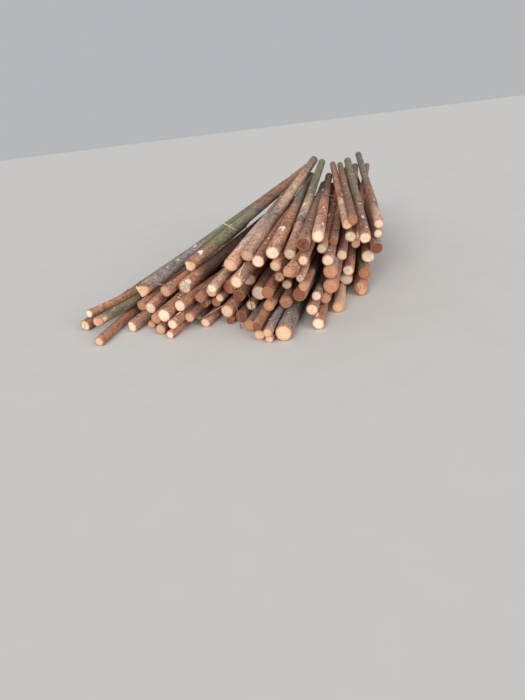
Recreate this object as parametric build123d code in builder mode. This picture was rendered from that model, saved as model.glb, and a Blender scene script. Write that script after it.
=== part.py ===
from build123d import *
import math
import os
from dataclasses import dataclass, field

# A loose stack of thin pine logs in their bark, cut to one length and thrown up by hand.
# The butts face -Y and fan out low and wide. The tips are bunched narrow and high at +Y.
# Sizes are in millimetres. Each log is laid in turn, straight down onto the logs already there.

# Driving dimensions
LOG_LENGTH = 2450.0
LOG_TAPER = 14.0
SMALLEST_TIP = 64.0
SEAT_GAP = 0.3
SINK_SLOPE = 48.0
STRAIGHT_BUTT = 90.0

# How finely a log is tried against the ones below it, and where along it its weight may lie
STATION_SPACING = 15.0
BALANCE_FROM = 0.42
BALANCE_TO = 0.52


@dataclass
class Sink:
    """A felling cut: a flat that slopes back from the butt's face on one side."""

    turn: float
    share: float


@dataclass
class Log:
    """One log: where its butt lies, which way it points in plan, and how thick it is."""

    across: float
    set_back: float
    lean: float
    butt: float
    sinks: tuple = field(default_factory=tuple)

    def laid(self, butt_height, tip_height):
        """The log with both ends' centres at their heights."""
        turn = math.radians(self.lean)
        self.near = Vector(self.across, self.set_back, butt_height)
        self.far = Vector(
            self.across + LOG_LENGTH * math.sin(turn),
            self.set_back + LOG_LENGTH * math.cos(turn),
            tip_height,
        )
        self.near_xyz = tuple(self.near)
        self.far_xyz = tuple(self.far)
        self.length = (self.far - self.near).length
        self.axis_xyz = tuple((self.far - self.near).normalized())
        return self

    @property
    def butt_radius(self):
        return self.butt / 2

    @property
    def tip_radius(self):
        return max(self.butt - LOG_TAPER, SMALLEST_TIP) / 2

    def radius(self, share):
        """A trunk tapers as a paraboloid: its section, not its width, shrinks evenly along it."""
        return math.sqrt(self.butt_radius**2 + (self.tip_radius**2 - self.butt_radius**2) * share)


# The courses as they were thrown up, lowest first, each from left to right along the face
COURSES = {
    "ground_course_left": [
        Log(-1300, 420, 15.0, 82),
        Log(-1510, 810, 23.0, 96),
        Log(-1070, 640, 24.5, 100, (Sink(270, 0.3),)),
        Log(-910, 670, 23.5, 70),
        Log(-810, 510, 20.5, 86),
        Log(-720, 390, 21.5, 70),
        Log(-510, 720, 24.0, 64),
        Log(-441, 540, 22.0, 82),
    ],
    "ground_course_right": [
        Log(-80, 340, 19.0, 96),
        Log(-10, 150, 16.5, 86),
        Log(60, 80, 16.5, 64),
        Log(170, 80, 16.0, 128),
        Log(450, 210, 14.0, 98),
        Log(660, 500, 13.0, 96),
        Log(920, 820, 11.5, 128, (Sink(70, 0.4), Sink(260, 0.3))),
        Log(-140, 550, 19.0, 102),
        Log(-240, 540, 19.5, 66),
    ],
    "second_course_left": [
        Log(-1350, 660, 29.5, 86, (Sink(90, 0.45),)),
        Log(-690, 420, 21.5, 84),
        Log(-840, 580, 19.5, 92),
        Log(-560, 520, 21.5, 84),
        Log(50, 40, 17.0, 70),
        Log(-20, 140, 17.0, 72),
        Log(420, 300, 15.0, 96),
        Log(-250, 530, 20.0, 110),
        Log(-440, 670, 23.5, 64),
        Log(-1440, 790, 29.5, 70),
    ],
    "second_course_right": [
        Log(-760, 510, 18.0, 112),
        Log(-1010, 920, 23.5, 94),
        Log(-920, 820, 22.0, 104),
        Log(-50, 600, 19.0, 88),
        Log(90, 340, 18.5, 86),
        Log(230, 410, 17.0, 106),
        Log(550, 450, 15.0, 84),
        Log(470, 370, 15.5, 78),
        Log(810, 920, 12.5, 116, (Sink(0, 0.35),)),
        Log(970, 890, 9.5, 104),
    ],
    "third_course": [
        Log(560, 1220, 13.0, 86),
        Log(-630, 580, 24.0, 98),
        Log(-340, 700, 22.5, 82),
        Log(-460, 620, 19.0, 88),
        Log(-140, 630, 20.5, 100),
        Log(90, 390, 16.5, 94),
        Log(330, 280, 19.5, 102),
        Log(1030, 1000, 11.0, 118),
        Log(600, 460, 15.0, 124),
        Log(-770, 850, 29.5, 104),
    ],
    "fourth_course": [
        Log(-300, 650, 23.0, 72),
        Log(30, 640, 16.5, 126),
        Log(260, 540, 14.0, 82),
        Log(360, 200, 16.5, 78),
        Log(820, 850, 15.0, 98),
        Log(400, 1280, 17.0, 90),
        Log(600, 420, 12.0, 116),
        Log(1090, 930, 7.5, 106),
        Log(1130, 1030, 7.0, 78),
        Log(-360, 640, 21.5, 96),
    ],
    "fifth_course": [
        Log(-210, 670, 20.5, 112),
        Log(-40, 750, 19.0, 114),
        Log(200, 450, 19.0, 82),
        Log(340, 200, 14.5, 66),
        Log(-600, 840, 27.0, 120),
        Log(-340, 520, 22.5, 82),
        Log(-140, 450, 23.0, 102),
        Log(450, 1290, 11.0, 82),
        Log(270, 1360, 10.0, 94),
    ],
    "sixth_course": [
        Log(280, 190, 14.5, 88),
        Log(240, -30, 20.0, 76),
        Log(170, 260, 19.5, 82),
        Log(730, 620, 13.5, 84),
        Log(580, 390, 14.5, 92),
        Log(360, 80, 15.0, 72),
    ],
    "long_mossy_log": [Log(-1020, 1020, 40.0, 122, (Sink(250, 0.35), Sink(80, 0.55)))],
    "seventh_course": [
        Log(50, 440, 17.5, 100),
        Log(-557, 1060, 33.5, 108, (Sink(90, 0.4), Sink(270, 0.25))),
        Log(910, 940, 12.0, 78),
        Log(550, 460, 14.5, 80),
        Log(660, 580, 14.0, 68),
        Log(370, 100, 12.5, 94),
    ],
    "pink_barked_log": [Log(-173, 620, 22.5, 116)],
    "scarred_log": [Log(160, 290, 15.0, 102)],
    "eighth_course": [
        Log(910, 920, 15.5, 76),
        Log(820, 690, 13.0, 94),
    ],
    "tan_log": [Log(-30, 640, 21.5, 102)],
    "ringed_log": [Log(290, 330, 15.0, 88)],
    "chipped_log": [Log(490, 200, 11.5, 90)],
    "dark_barked_log": [Log(890, 470, 8.5, 90)],
    "peeled_log": [Log(790, 650, 7.5, 82, (Sink(0, 0.3),))],
    "thin_top_log": [Log(800, 470, 8.5, 70)],
    "right_edge_log": [Log(1140, 1040, 8.5, 86)],
}


def height_needed(x, y, radius, other):
    """The least height at which a ball of this radius over (x, y) clears the other log, or None."""
    near_x, near_y, near_z = other.near_xyz
    axis_x, axis_y, axis_z = other.axis_xyz
    gone_x = x - near_x
    gone_y = y - near_y
    plan_run = gone_x * axis_x + gone_y * axis_y
    share = min(max(plan_run / other.length, 0.0), 1.0)
    reach = radius + other.radius(share) + SEAT_GAP
    a = 1 - axis_z**2
    b = -2 * plan_run * axis_z
    c = gone_x**2 + gone_y**2 - plan_run**2 - reach**2
    root = b * b - 4 * a * c
    if root > 0:
        height = (-b + math.sqrt(root)) / (2 * a)
        along = plan_run + height * axis_z
        if 0 <= along <= other.length:
            return near_z + height
    best = None
    for end, end_radius in ((other.near_xyz, other.butt_radius), (other.far_xyz, other.tip_radius)):
        left = (radius + end_radius + SEAT_GAP) ** 2 - (x - end[0]) ** 2 - (y - end[1]) ** 2
        if left > 0:
            height = end[2] + math.sqrt(left)
            best = height if best is None else max(best, height)
    return best


def ground_to_clear(log, laid):
    """(distance along, height) pairs that the log's centre line has to stay above."""
    turn = math.radians(log.lean)
    count = round(LOG_LENGTH / STATION_SPACING)
    reach = LOG_LENGTH + log.butt
    near_by = [
        other
        for other in laid
        if abs(other.across - log.across) < reach and abs(other.set_back - log.set_back) < reach
    ]
    needed = []
    for i in range(count + 1):
        along = LOG_LENGTH * i / count
        x = log.across + along * math.sin(turn)
        y = log.set_back + along * math.cos(turn)
        radius = log.radius(i / count)
        height = radius
        for other in near_by:
            over = height_needed(x, y, radius, other)
            if over is not None and over > height:
                height = over
        needed.append((along, height))
    return needed


def highest_edges(points):
    """The straight edges of the taut line drawn over the points."""
    chain = []
    for point in points:
        while len(chain) > 1:
            (x0, z0), (x1, z1) = chain[-2], chain[-1]
            if (x1 - x0) * (point[1] - z0) - (z1 - z0) * (point[0] - x0) < 0:
                break
            chain.pop()
        chain.append(point)
    return list(zip(chain, chain[1:]))


def rest(log, laid):
    """Lowers a log onto the two places that carry it, one each side of its weight."""
    edges = highest_edges(ground_to_clear(log, laid))
    carrying = [
        edge
        for edge in edges
        if edge[1][0] > LOG_LENGTH * BALANCE_FROM and edge[0][0] < LOG_LENGTH * BALANCE_TO
    ]
    start, end = max(carrying, key=lambda edge: edge[1][0] - edge[0][0])
    slope = (end[1] - start[1]) / (end[0] - start[0])
    butt_height = start[1] - slope * start[0]
    return log.laid(butt_height, butt_height + slope * LOG_LENGTH)


def half_width(radius, axis_part):
    """How far a flat round end reaches along one direction from its centre."""
    return radius * math.sqrt(max(0.0, 1 - axis_part**2))


def stack_corners(logs):
    """The lowest and highest X, Y and Z that any log reaches."""
    low = [math.inf] * 3
    high = [-math.inf] * 3
    for log in logs:
        for end, radius in ((log.near_xyz, log.butt_radius), (log.far_xyz, log.tip_radius)):
            for i, (centre, part) in enumerate(zip(end, log.axis_xyz)):
                low[i] = min(low[i], centre - half_width(radius, part))
                high[i] = max(high[i], centre + half_width(radius, part))
    return low, high


def log_solid(log, origin):
    """A round log that tapers along its length, and its felling cuts if it has any."""
    near = log.near - origin
    axis = (log.far - log.near).normalized()
    side = axis.cross(Vector(0, 0, 1)).normalized()
    half_section = Plane(origin=near, x_dir=side, z_dir=side.cross(axis))
    with BuildPart() as trunk:
        with BuildSketch(half_section):
            with BuildLine():
                butt_edge = (log.butt_radius, 0)
                tip_edge = (log.tip_radius, log.length)
                taper_start = (log.butt_radius, STRAIGHT_BUTT if log.sinks else 0)
                if log.sinks:
                    Line(butt_edge, taper_start)
                Spline(taper_start, (log.radius(0.5), log.length / 2), tip_edge)
                Polyline(tip_edge, (0, log.length), (0, 0), butt_edge)
            make_face()
        revolve(axis=Axis(near, axis))
        for sink in log.sinks:
            split(bisect_by=sink_plane(log, sink, near, axis, side), keep=Keep.BOTTOM)
    return trunk.part


def sink_plane(log, sink, near, axis, side):
    """The plane of a felling cut, with the wood that it takes off above it."""
    up = side.cross(axis)
    turn = math.radians(sink.turn)
    outward = up * math.cos(turn) + side * math.sin(turn)
    ridge = near + outward * (log.butt_radius - log.butt * sink.share)
    slope = math.radians(SINK_SLOPE)
    return Plane(origin=ridge, z_dir=outward * math.sin(slope) - axis * math.cos(slope))


laid = []
for course in COURSES.values():
    for log in course:
        laid.append(rest(log, laid))

low, high = stack_corners(laid)
origin = Vector((low[0] + high[0]) / 2, (low[1] + high[1]) / 2, low[2])
print("stack", [round(b - a) for a, b in zip(low, high)], "origin", origin, "logs", len(laid))

os.makedirs("parts", exist_ok=True)
for name, course in COURSES.items():
    with BuildPart() as course_part:
        for log in course:
            add(log_solid(log, origin))
    course_part.part.label = name
    export_step(course_part.part, f"parts/{name}.step")
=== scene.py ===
# %% [markdown]
# This lesson dresses a loose stack of thin pine logs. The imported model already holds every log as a
# plain tapered round of the right size, lying where it rests. What it lacks is bark, sawn wood and
# wear. We could sculpt each log by hand, but there are about ninety. So each is grown by the same few
# functions, from its own place and thickness and from a short description of its looks.

import math
from dataclasses import dataclass

import bpy
import numpy as np
from mathutils import Matrix, Vector
from mathutils.bvhtree import BVHTree


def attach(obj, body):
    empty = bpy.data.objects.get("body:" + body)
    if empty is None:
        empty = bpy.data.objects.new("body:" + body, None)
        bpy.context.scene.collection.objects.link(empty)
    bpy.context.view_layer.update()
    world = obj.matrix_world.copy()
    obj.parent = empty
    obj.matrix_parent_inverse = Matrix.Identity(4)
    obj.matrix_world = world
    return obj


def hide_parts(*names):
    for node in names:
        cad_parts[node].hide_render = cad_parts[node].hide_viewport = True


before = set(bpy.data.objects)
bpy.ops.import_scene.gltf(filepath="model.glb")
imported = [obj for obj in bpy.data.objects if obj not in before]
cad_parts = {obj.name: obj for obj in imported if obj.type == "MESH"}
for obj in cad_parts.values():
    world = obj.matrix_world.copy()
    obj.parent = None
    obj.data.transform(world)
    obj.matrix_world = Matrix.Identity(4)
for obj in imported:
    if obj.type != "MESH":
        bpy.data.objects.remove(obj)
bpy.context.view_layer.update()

# %% [markdown]
# The camera comes first, because everything is judged through it. The photograph was taken standing,
# looking down over the butts, with the camera held a little askew. We could aim the camera with a
# Track To constraint, but that always keeps it level. So its three directions are worked out from
# its pitch and its roll and put straight into its matrix.

# %% Set up the camera
PHOTO_HEIGHT = 700
FOCAL_PIXELS = 526
EYE = Vector((-0.0207, -5.3685, 1.65))
PITCH = math.radians(25.4)
ROLL = math.radians(7.15)

looking = Vector((0, math.cos(PITCH), -math.sin(PITCH)))
level_up = Vector((0, math.sin(PITCH), math.cos(PITCH)))
level_right = Vector((1, 0, 0))
right = level_right * math.cos(ROLL) - level_up * math.sin(ROLL)
up = level_right * math.sin(ROLL) + level_up * math.cos(ROLL)

camera_data = bpy.data.cameras.new("camera")
camera_data.sensor_fit = "VERTICAL"
camera_data.sensor_height = 36
camera_data.lens = FOCAL_PIXELS / PHOTO_HEIGHT * camera_data.sensor_height
camera = bpy.data.objects.new("camera", camera_data)
bpy.context.scene.collection.objects.link(camera)
turned = Matrix((right, up, -looking)).transposed()
camera.matrix_world = Matrix.Translation(EYE) @ turned.to_4x4()
bpy.context.scene.camera = camera
print("lens", round(camera_data.lens, 2), "mm")

# %% [markdown]
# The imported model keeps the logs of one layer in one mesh. To dress a log we need its own axis, its
# two radii and the flats that the felling saw left at its butt. We could type those in again, but
# then the looks and the model could drift apart. Instead they are measured from the mesh: faces that
# share corners belong together, the far cap is square to the axis, and any slanted flat is a cut.


# %% Find each log in a layer's mesh
@dataclass
class Log:
    """One log as measured: its butt's centre, its three directions, its size and its slanted cuts."""

    near: np.ndarray
    axis: np.ndarray
    side: np.ndarray
    up: np.ndarray
    length: float
    butt_radius: float
    tip_radius: float
    cuts: list

    def point(self, x, y, along):
        """Points in the row's frame from places across and along the log."""
        return (
            self.near
            + np.asarray(x)[..., None] * self.side
            + np.asarray(y)[..., None] * self.up
            + np.asarray(along)[..., None] * self.axis
        )

    def radius(self, along):
        """A trunk tapers as a paraboloid: its section, not its width, shrinks evenly."""
        share = np.clip(along / self.length, 0, 1)
        return np.sqrt(self.butt_radius**2 + (self.tip_radius**2 - self.butt_radius**2) * share)

    def butt_depth(self, x, y, right_only=False):
        """How far behind the flat of the butt its slanted cuts reach at a place."""
        depth = np.zeros_like(np.asarray(x, dtype=float))
        for at_axis, by_x, by_y in self.cuts:
            if by_x > 0 or not right_only:
                depth = np.maximum(depth, at_axis + by_x * x + by_y * y)
        return depth


def welded(mesh):
    """The mesh's corners with doubles made one, and its triangles over them."""
    corners = np.empty(len(mesh.vertices) * 3)
    mesh.vertices.foreach_get("co", corners)
    corners = corners.reshape(-1, 3)
    _, first, same = np.unique(np.round(corners, 4), axis=0, return_index=True, return_inverse=True)
    same = same.ravel()
    faces = np.array([[same[v] for v in face.vertices] for face in mesh.polygons])
    return corners[first], faces


def loose_parts(corners, faces):
    """The faces sorted into the parts that hang together."""
    leader = list(range(len(corners)))

    def find(v):
        while leader[v] != v:
            leader[v] = leader[leader[v]]
            v = leader[v]
        return v

    for face in faces:
        for v in face[1:]:
            leader[find(v)] = find(face[0])
    owner = np.array([find(face[0]) for face in faces])
    return [faces[owner == part] for part in np.unique(owner)]


def unit(vector):
    return vector / np.linalg.norm(vector)


# What counts as a log's end, as a face worth reading, and as slanted between butt and trunk
END_SLACK = 0.002
SMALLEST_FACE = 1e-5
SQUARE_BUTT = -0.97
TRUNK_SIDE = -0.2


def measured(corners, faces):
    """Measures one log from its triangles."""
    points = corners[np.unique(faces)]
    rough = np.linalg.svd(points - points.mean(axis=0), full_matrices=False)[2][0]
    rough = rough * np.sign(rough[1])
    tip_level = (points @ rough).max() - END_SLACK
    triangles = corners[faces]
    crossed = np.cross(triangles[:, 1] - triangles[:, 0], triangles[:, 2] - triangles[:, 0])
    at_tip = (corners @ rough > tip_level)[faces].all(axis=1)
    axis = unit(crossed[at_tip].sum(axis=0))
    axis = axis * np.sign(axis @ rough)
    tip = points[points @ rough > tip_level]
    far = tip.mean(axis=0)
    length = -((points - far) @ axis).min()
    near = far - axis * length
    side = unit(np.cross(axis, (0, 0, 1)))
    above = np.cross(side, axis)
    spread = points - near
    off_axis = np.linalg.norm(spread - np.outer(spread @ axis, axis), axis=1)
    big = np.linalg.norm(crossed, axis=1) > SMALLEST_FACE
    cuts = {}
    for corner, normal in zip(triangles[big, 0], crossed[big]):
        normal = unit(normal)
        facing = normal @ axis
        if SQUARE_BUTT < facing < TRUNK_SIDE:
            at_axis = float((corner - near) @ normal / facing)
            slopes = (float(-(side @ normal) / facing), float(-(above @ normal) / facing))
            cuts[tuple(np.round(slopes, 1))] = (at_axis, *slopes)
    tip_radius = float(np.linalg.norm(tip - far, axis=1).mean())
    return Log(near, axis, side, above, length, float(off_axis.max()), tip_radius, list(cuts.values()))


layers = {}
all_corners, all_faces = [], []
for name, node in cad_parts.items():
    corners, faces = welded(node.data)
    all_faces.extend((faces + len(all_corners)).tolist())
    all_corners.extend(corners.tolist())
    logs = [measured(corners, part) for part in loose_parts(corners, faces)]
    layers[name] = sorted(logs, key=lambda log: log.near[0])
    print(name, len(logs), "logs", sum(len(log.cuts) for log in logs), "slanted cuts")

# %% [markdown]
# Pine bark changes up the trunk: thick and grey-brown low down, thin and orange higher up, green
# where moss and algae settled on the weather side. Which colour a log shows depends on where in the
# tree it was cut. One bark material for all would look cloned, and ninety materials would be a chore.
# So the colours are written down once by name, and each kind of log names them along its length.


# %% Name the colours of bark and wood
def colour(red, green, blue):
    """A colour as read on a screen, turned into the linear light that the shaders use."""
    values = np.array([red, green, blue]) / 255
    return np.where(values <= 0.04045, values / 12.92, ((values + 0.055) / 1.055) ** 2.4)


BARK = {
    "orange": colour(205, 148, 117),
    "salmon": colour(238, 182, 152),
    "red": colour(185, 131, 105),
    "brown": colour(160, 122, 104),
    "dark": colour(112, 86, 74),
    "dun": colour(148, 132, 120),
    "grey": colour(156, 147, 142),
    "pink": colour(220, 188, 174),
    "tan": colour(216, 178, 152),
    "straw": colour(236, 198, 166),
    "green": colour(132, 128, 102),
    "ash": colour(126, 122, 112),
}

WOOD = {
    "white": colour(250, 234, 212),
    "pale": colour(246, 224, 198),
    "yellow": colour(246, 214, 176),
    "cream": colour(240, 212, 184),
    "straw": colour(236, 202, 166),
    "pink": colour(234, 198, 170),
    "tan": colour(222, 182, 148),
    "dim": colour(204, 154, 120),
    "brown": colour(180, 124, 92),
    "dark": colour(138, 88, 66),
}

# Along the log from butt to tip: where each bark colour is reached, and how mossy it is there
TRUNKS = {
    "orange": [(0.3, "orange", 0), (1, "red", 0)],
    "red": [(0.15, "red", 0), (1, "brown", 0.05)],
    "brown": [(0, "brown", 0.05), (1, "brown", 0.15)],
    "dark": [(0, "dark", 0.1)],
    "grey": [(0, "grey", 0.1), (1, "dun", 0.2)],
    "tan": [(0, "tan", 0), (0.3, "orange", 0), (1, "brown", 0.1)],
    "mossy": [(0, "green", 0.6), (1, "green", 0.7)],
    "dull mossy": [(0, "brown", 0.45), (1, "green", 0.5)],
    "olive": [(0, "tan", 0.2), (0.5, "green", 0.4), (1, "green", 0.5)],
    "stripped": [(0, "orange", 0)],
    "red to dark": [(0.07, "red", 0), (0.13, "dark", 0.3)],
    "brown to moss": [
        (0.08, "brown", 0.1), (0.16, "green", 0.7), (0.36, "green", 0.65), (0.46, "dun", 0.3),
        (0.56, "brown", 0.1), (1, "red", 0),
    ],
    "grey to moss": [
        (0, "grey", 0.1), (0.3, "grey", 0.15), (0.4, "green", 0.75), (0.66, "green", 0.7),
        (0.76, "brown", 0.1), (1, "red", 0),
    ],
    "pink to moss": [
        (0.05, "salmon", 0), (0.1, "pink", 0), (0.34, "pink", 0.05), (0.44, "dun", 0.4),
        (1, "green", 0.5),
    ],
    "tan to ash": [
        (0.14, "tan", 0), (0.28, "dun", 0.05), (0.45, "tan", 0), (0.7, "tan", 0.05),
        (0.92, "dun", 0.1), (1, "ash", 0.1),
    ],
    "orange to moss": [
        (0.12, "salmon", 0), (0.22, "orange", 0), (0.4, "orange", 0), (0.5, "dun", 0.3),
        (0.62, "green", 0.6), (0.8, "dark", 0.5), (1, "green", 0.6),
    ],
    "ringed": [
        (0.16, "salmon", 0), (0.21, "pink", 0), (0.25, "dun", 0.3), (0.3, "pink", 0.1),
        (0.42, "tan", 0.15), (0.56, "green", 0.5), (1, "green", 0.7),
    ],
    "dark to moss": [
        (0.1, "brown", 0), (0.25, "brown", 0.05), (0.5, "dun", 0.2), (0.64, "green", 0.6),
    ],
    "brown to ash": [
        (0.1, "tan", 0), (0.2, "brown", 0), (0.34, "red", 0.05), (0.42, "brown", 0.1),
        (0.6, "dun", 0.15), (0.8, "ash", 0.2),
    ],
    "straw to red": [(0.22, "straw", 0), (0.3, "orange", 0), (0.6, "orange", 0), (1, "brown", 0)],
    "tan to dark": [
        (0, "straw", 0), (0.06, "tan", 0), (0.14, "orange", 0), (0.38, "orange", 0),
        (0.5, "brown", 0), (0.64, "dark", 0.1),
    ],
}
print(len(BARK), "bark colours", len(WOOD), "wood colours", len(TRUNKS), "kinds of trunk")

# %% [markdown]
# Next comes the cast: which trunk and which sawn wood each log shows, from left to right along the
# face of each layer. Picking these at random would be quicker, but the eye reads the pattern of pale
# and dim ends as the portrait of this stack, so the list is given log by log.

# %% Say how each log looks
LOOKS = {
    "ground_course_left": [
        ("brown", "white"), ("red", "pink"), ("dull mossy", "pale"), ("brown", "tan"), ("brown", "tan"),
        ("red", "cream"), ("brown", "white"), ("red", "pink"),
    ],
    "ground_course_right": [
        ("brown", "dark"), ("dark", "dark"), ("grey", "dim"), ("red", "pink"), ("red", "pink"),
        ("grey", "straw"), ("red", "pale"), ("stripped", "tan"), ("red", "tan"),
    ],
    "second_course_left": [
        ("orange", "white"), ("mossy", "pink"), ("red", "dim"), ("red", "cream"), ("dark", "tan"),
        ("grey", "dark"), ("red", "pink"), ("red", "dark"), ("grey", "tan"), ("brown", "cream"),
    ],
    "second_course_right": [
        ("red", "dim"), ("red", "white"), ("red", "pale"), ("dark", "pale"), ("brown", "dim"),
        ("dark", "dim"), ("grey", "pale"), ("brown", "dim"), ("brown", "white"), ("mossy", "brown"),
    ],
    "third_course": [
        ("orange", "tan"), ("red", "pale"), ("brown", "brown"), ("brown", "brown"), ("brown", "dark"),
        ("red", "brown"), ("dark", "dark"), ("brown", "dim"), ("red", "dim"), ("red", "white"),
    ],
    "fourth_course": [
        ("brown", "pink"), ("brown", "cream"), ("brown", "white"), ("brown", "pale"), ("red", "dim"),
        ("red", "dim"), ("grey", "dim"), ("red", "white"), ("grey", "dark"), ("brown", "white"),
    ],
    "fifth_course": [
        ("red to dark", "white"), ("olive", "white"), ("brown", "brown"), ("tan", "cream"),
        ("red", "white"), ("brown", "straw"), ("brown", "dim"), ("tan", "white"), ("red", "tan"),
    ],
    "sixth_course": [
        ("red", "pink"), ("orange", "dim"), ("tan", "brown"), ("brown", "pink"), ("brown", "pale"),
        ("brown", "cream"),
    ],
    "long_mossy_log": [("grey to moss", "white")],
    "seventh_course": [
        ("brown to moss", "white"), ("red", "white"), ("dull mossy", "dark"), ("red", "white"),
        ("brown", "brown"), ("orange", "tan"),
    ],
    "pink_barked_log": [("pink to moss", "pink")],
    "scarred_log": [("orange to moss", "white")],
    "eighth_course": [("brown", "white"), ("tan", "pale")],
    "tan_log": [("tan to ash", "pink")],
    "ringed_log": [("ringed", "pale")],
    "chipped_log": [("tan to dark", "pale")],
    "dark_barked_log": [("dark to moss", "cream")],
    "peeled_log": [("straw to red", "cream")],
    "thin_top_log": [("brown", "brown")],
    "right_edge_log": [("brown to ash", "white")],
}
print(sum(len(looks) for looks in LOOKS.values()), "looks")

# %% [markdown]
# A few logs carry marks of their own: bark skinned off by a harvester's rollers, a dark ring where a
# whorl of branches was lopped, a butt that tore instead of being sawn. They could all be left to
# chance, but these are the ones a visitor would point at, so each is listed with its place along its log.


# %% Note the marks of single logs
@dataclass
class Mark:
    """A mark on a trunk: its share from butt to tip, its turn in degrees and its size in metres."""

    kind: str
    share: float
    turn: float
    long: float
    wide: float


def bare_mark(share, turn, long, wide):
    return Mark("bare", share, turn, long, wide)


def dark_ring(share, long):
    """A scar right round the trunk."""
    all_round = 9.0
    return Mark("dark", share, 0, long, all_round)


MARKS = {
    ("second_course_left", 0): [bare_mark(0.3, 10, 0.07, 0.018), bare_mark(0.12, 300, 0.03, 0.01)],
    ("second_course_left", 1): [bare_mark(0.02, 80, 0.03, 0.02)],
    ("scarred_log", 0): [
        bare_mark(0.185, 0, 0.026, 0.036), bare_mark(0.16, 20, 0.03, 0.008), dark_ring(0.42, 0.006),
        bare_mark(0.1, 330, 0.012, 0.008),
    ],
    ("ringed_log", 0): [dark_ring(0.23, 0.005), dark_ring(0.43, 0.005)],
    ("peeled_log", 0): [
        bare_mark(0.24, 350, 0.1, 0.014), bare_mark(0.33, 20, 0.05, 0.01),
        bare_mark(0.12, 60, 0.03, 0.012),
    ],
    ("right_edge_log", 0): [
        dark_ring(0.13, 0.006), dark_ring(0.29, 0.005), dark_ring(0.46, 0.006), dark_ring(0.62, 0.006),
    ],
    ("chipped_log", 0): [
        bare_mark(0.09, 40, 0.025, 0.012), bare_mark(0.17, 330, 0.02, 0.01),
        bare_mark(0.3, 20, 0.03, 0.008),
    ],
    ("thin_top_log", 0): [bare_mark(0.12, 20, 0.03, 0.012), bare_mark(0.2, 320, 0.02, 0.012)],
    ("dark_barked_log", 0): [dark_ring(0.2, 0.006), bare_mark(0.05, 30, 0.015, 0.01)],
    ("tan_log", 0): [dark_ring(0.31, 0.004), dark_ring(0.56, 0.004), dark_ring(0.8, 0.005)],
    ("pink_barked_log", 0): [bare_mark(0.16, 20, 0.012, 0.008), bare_mark(0.3, 0, 0.01, 0.006)],
    ("long_mossy_log", 0): [bare_mark(0.47, 0, 0.06, 0.005), bare_mark(0.31, 15, 0.03, 0.006)],
    ("seventh_course", 0): [bare_mark(0.075, 20, 0.028, 0.026)],
    ("seventh_course", 1): [bare_mark(0.16, 0, 0.02, 0.01)],
    ("fifth_course", 0): [bare_mark(0.01, 40, 0.03, 0.03)],
    ("ground_course_right", 7): [bare_mark(0.05, 40, 0.1, 0.03)],
}
# How deep the splinters of a torn butt are, in metres
TORN_ENDS = {
    ("fifth_course", 0): 0.016, ("ground_course_left", 0): 0.006, ("fifth_course", 5): 0.012,
    ("second_course_right", 3): 0.008, ("second_course_right", 5): 0.008,
    ("ground_course_right", 8): 0.006, ("seventh_course", 2): 0.006, ("fifth_course", 7): 0.014,
}
print(sum(len(marks) for marks in MARKS.values()), "marks", len(TORN_ENDS), "torn ends")

# %% [markdown]
# A dressed log needs more than points and faces. Each point also keeps its bark colour, its wood
# colour and a few facts for the materials, such as how mossy it is. One object for each log would
# carry them too, but a gathering of plain arrays lets a whole layer become one mesh.


# %% Gather points, faces and facts
class Shape:
    """The arrays that a mesh is made from, for one log or many."""

    def __init__(self):
        self.points, self.place, self.bark, self.wood, self.facts = [], [], [], [], []
        self.faces, self.kinds = [], []
        self.count = 0

    def add(self, points, faces, kinds, place, bark, wood, rim=1.0, moss=0.0, bare=0.0, scar=0.0):
        """Adds points and the faces over them. A kind, colour or fact is one for all, or a row."""
        count = len(points)
        self.points.append(points)
        self.faces.extend([v + self.count for v in face] for face in faces)
        self.kinds.extend(np.broadcast_to(kinds, len(faces)).tolist())
        self.place.append(place)
        self.bark.append(np.broadcast_to(bark, (count, 3)))
        self.wood.append(np.broadcast_to(wood, (count, 3)))
        facts = [np.broadcast_to(np.ravel(value), count) for value in (rim, moss, bare, scar)]
        self.facts.append(np.stack(facts, axis=-1))
        self.count += count


def grid_faces(rows, columns):
    """Quads over rows of points that close round on themselves."""
    row = np.arange(rows - 1)[:, None] * columns
    here = np.arange(columns)
    after = (here + 1) % columns
    quads = np.stack([row + here, row + after, row + columns + after, row + columns + here], axis=-1)
    return quads.reshape(-1, 4).tolist()


print("a ring of four over another makes", grid_faces(2, 4))

# %% [markdown]
# A trunk's colour, moss and wounds vary smoothly around and along it. They could be shader noise
# alone, but then moss could not keep to the upper side, nor a wound to its place. So they are worked
# out here for each point: waves of a few lengths stand for the natural unevenness, and a soft bell
# shape around a place stands for a whorl or a wound.

# %% Vary a trunk around and along
WHORL_SPACING = 0.38
WHORL_SHIFT = 0.05
WHORL_LONG = 0.022
SCUFFED_LONG = 0.1
CHANCE_WOUND_WIDE = 0.014


def waves(rng, turn, along, count, amplitude):
    """A smooth bumpy field around and along a log."""
    total = np.zeros(np.broadcast(turn, along).shape)
    for _ in range(count):
        lobes = rng.integers(1, 6)
        pace = rng.uniform(-9, 9)
        shift = rng.uniform(0, math.tau)
        total = total + np.cos(lobes * turn + pace * along + shift) * rng.uniform(0.4, 1)
    return total * amplitude / math.sqrt(count)


def bell(distance, reach):
    """1 at a place, and softly down to 0 beyond its reach."""
    return np.exp(-((distance / reach) ** 2))


def round_to(turn, beside, radius):
    """How far round the trunk each point is from a line along it."""
    return np.angle(np.exp(1j * (turn - beside))) * radius


def whorls(rng, log, turn, along):
    """How much each point swells where a whorl of branches grew."""
    total = np.zeros_like(along)
    first = rng.uniform(WHORL_SHIFT, WHORL_SPACING)
    for at in np.arange(first, log.length, WHORL_SPACING):
        at = at + rng.uniform(-WHORL_SHIFT, WHORL_SHIFT)
        bulge = 0.55 + 0.45 * np.cos(3 * turn + rng.uniform(0, math.tau))
        total = total + bell(along - at, WHORL_LONG) * bulge
    return total


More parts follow.
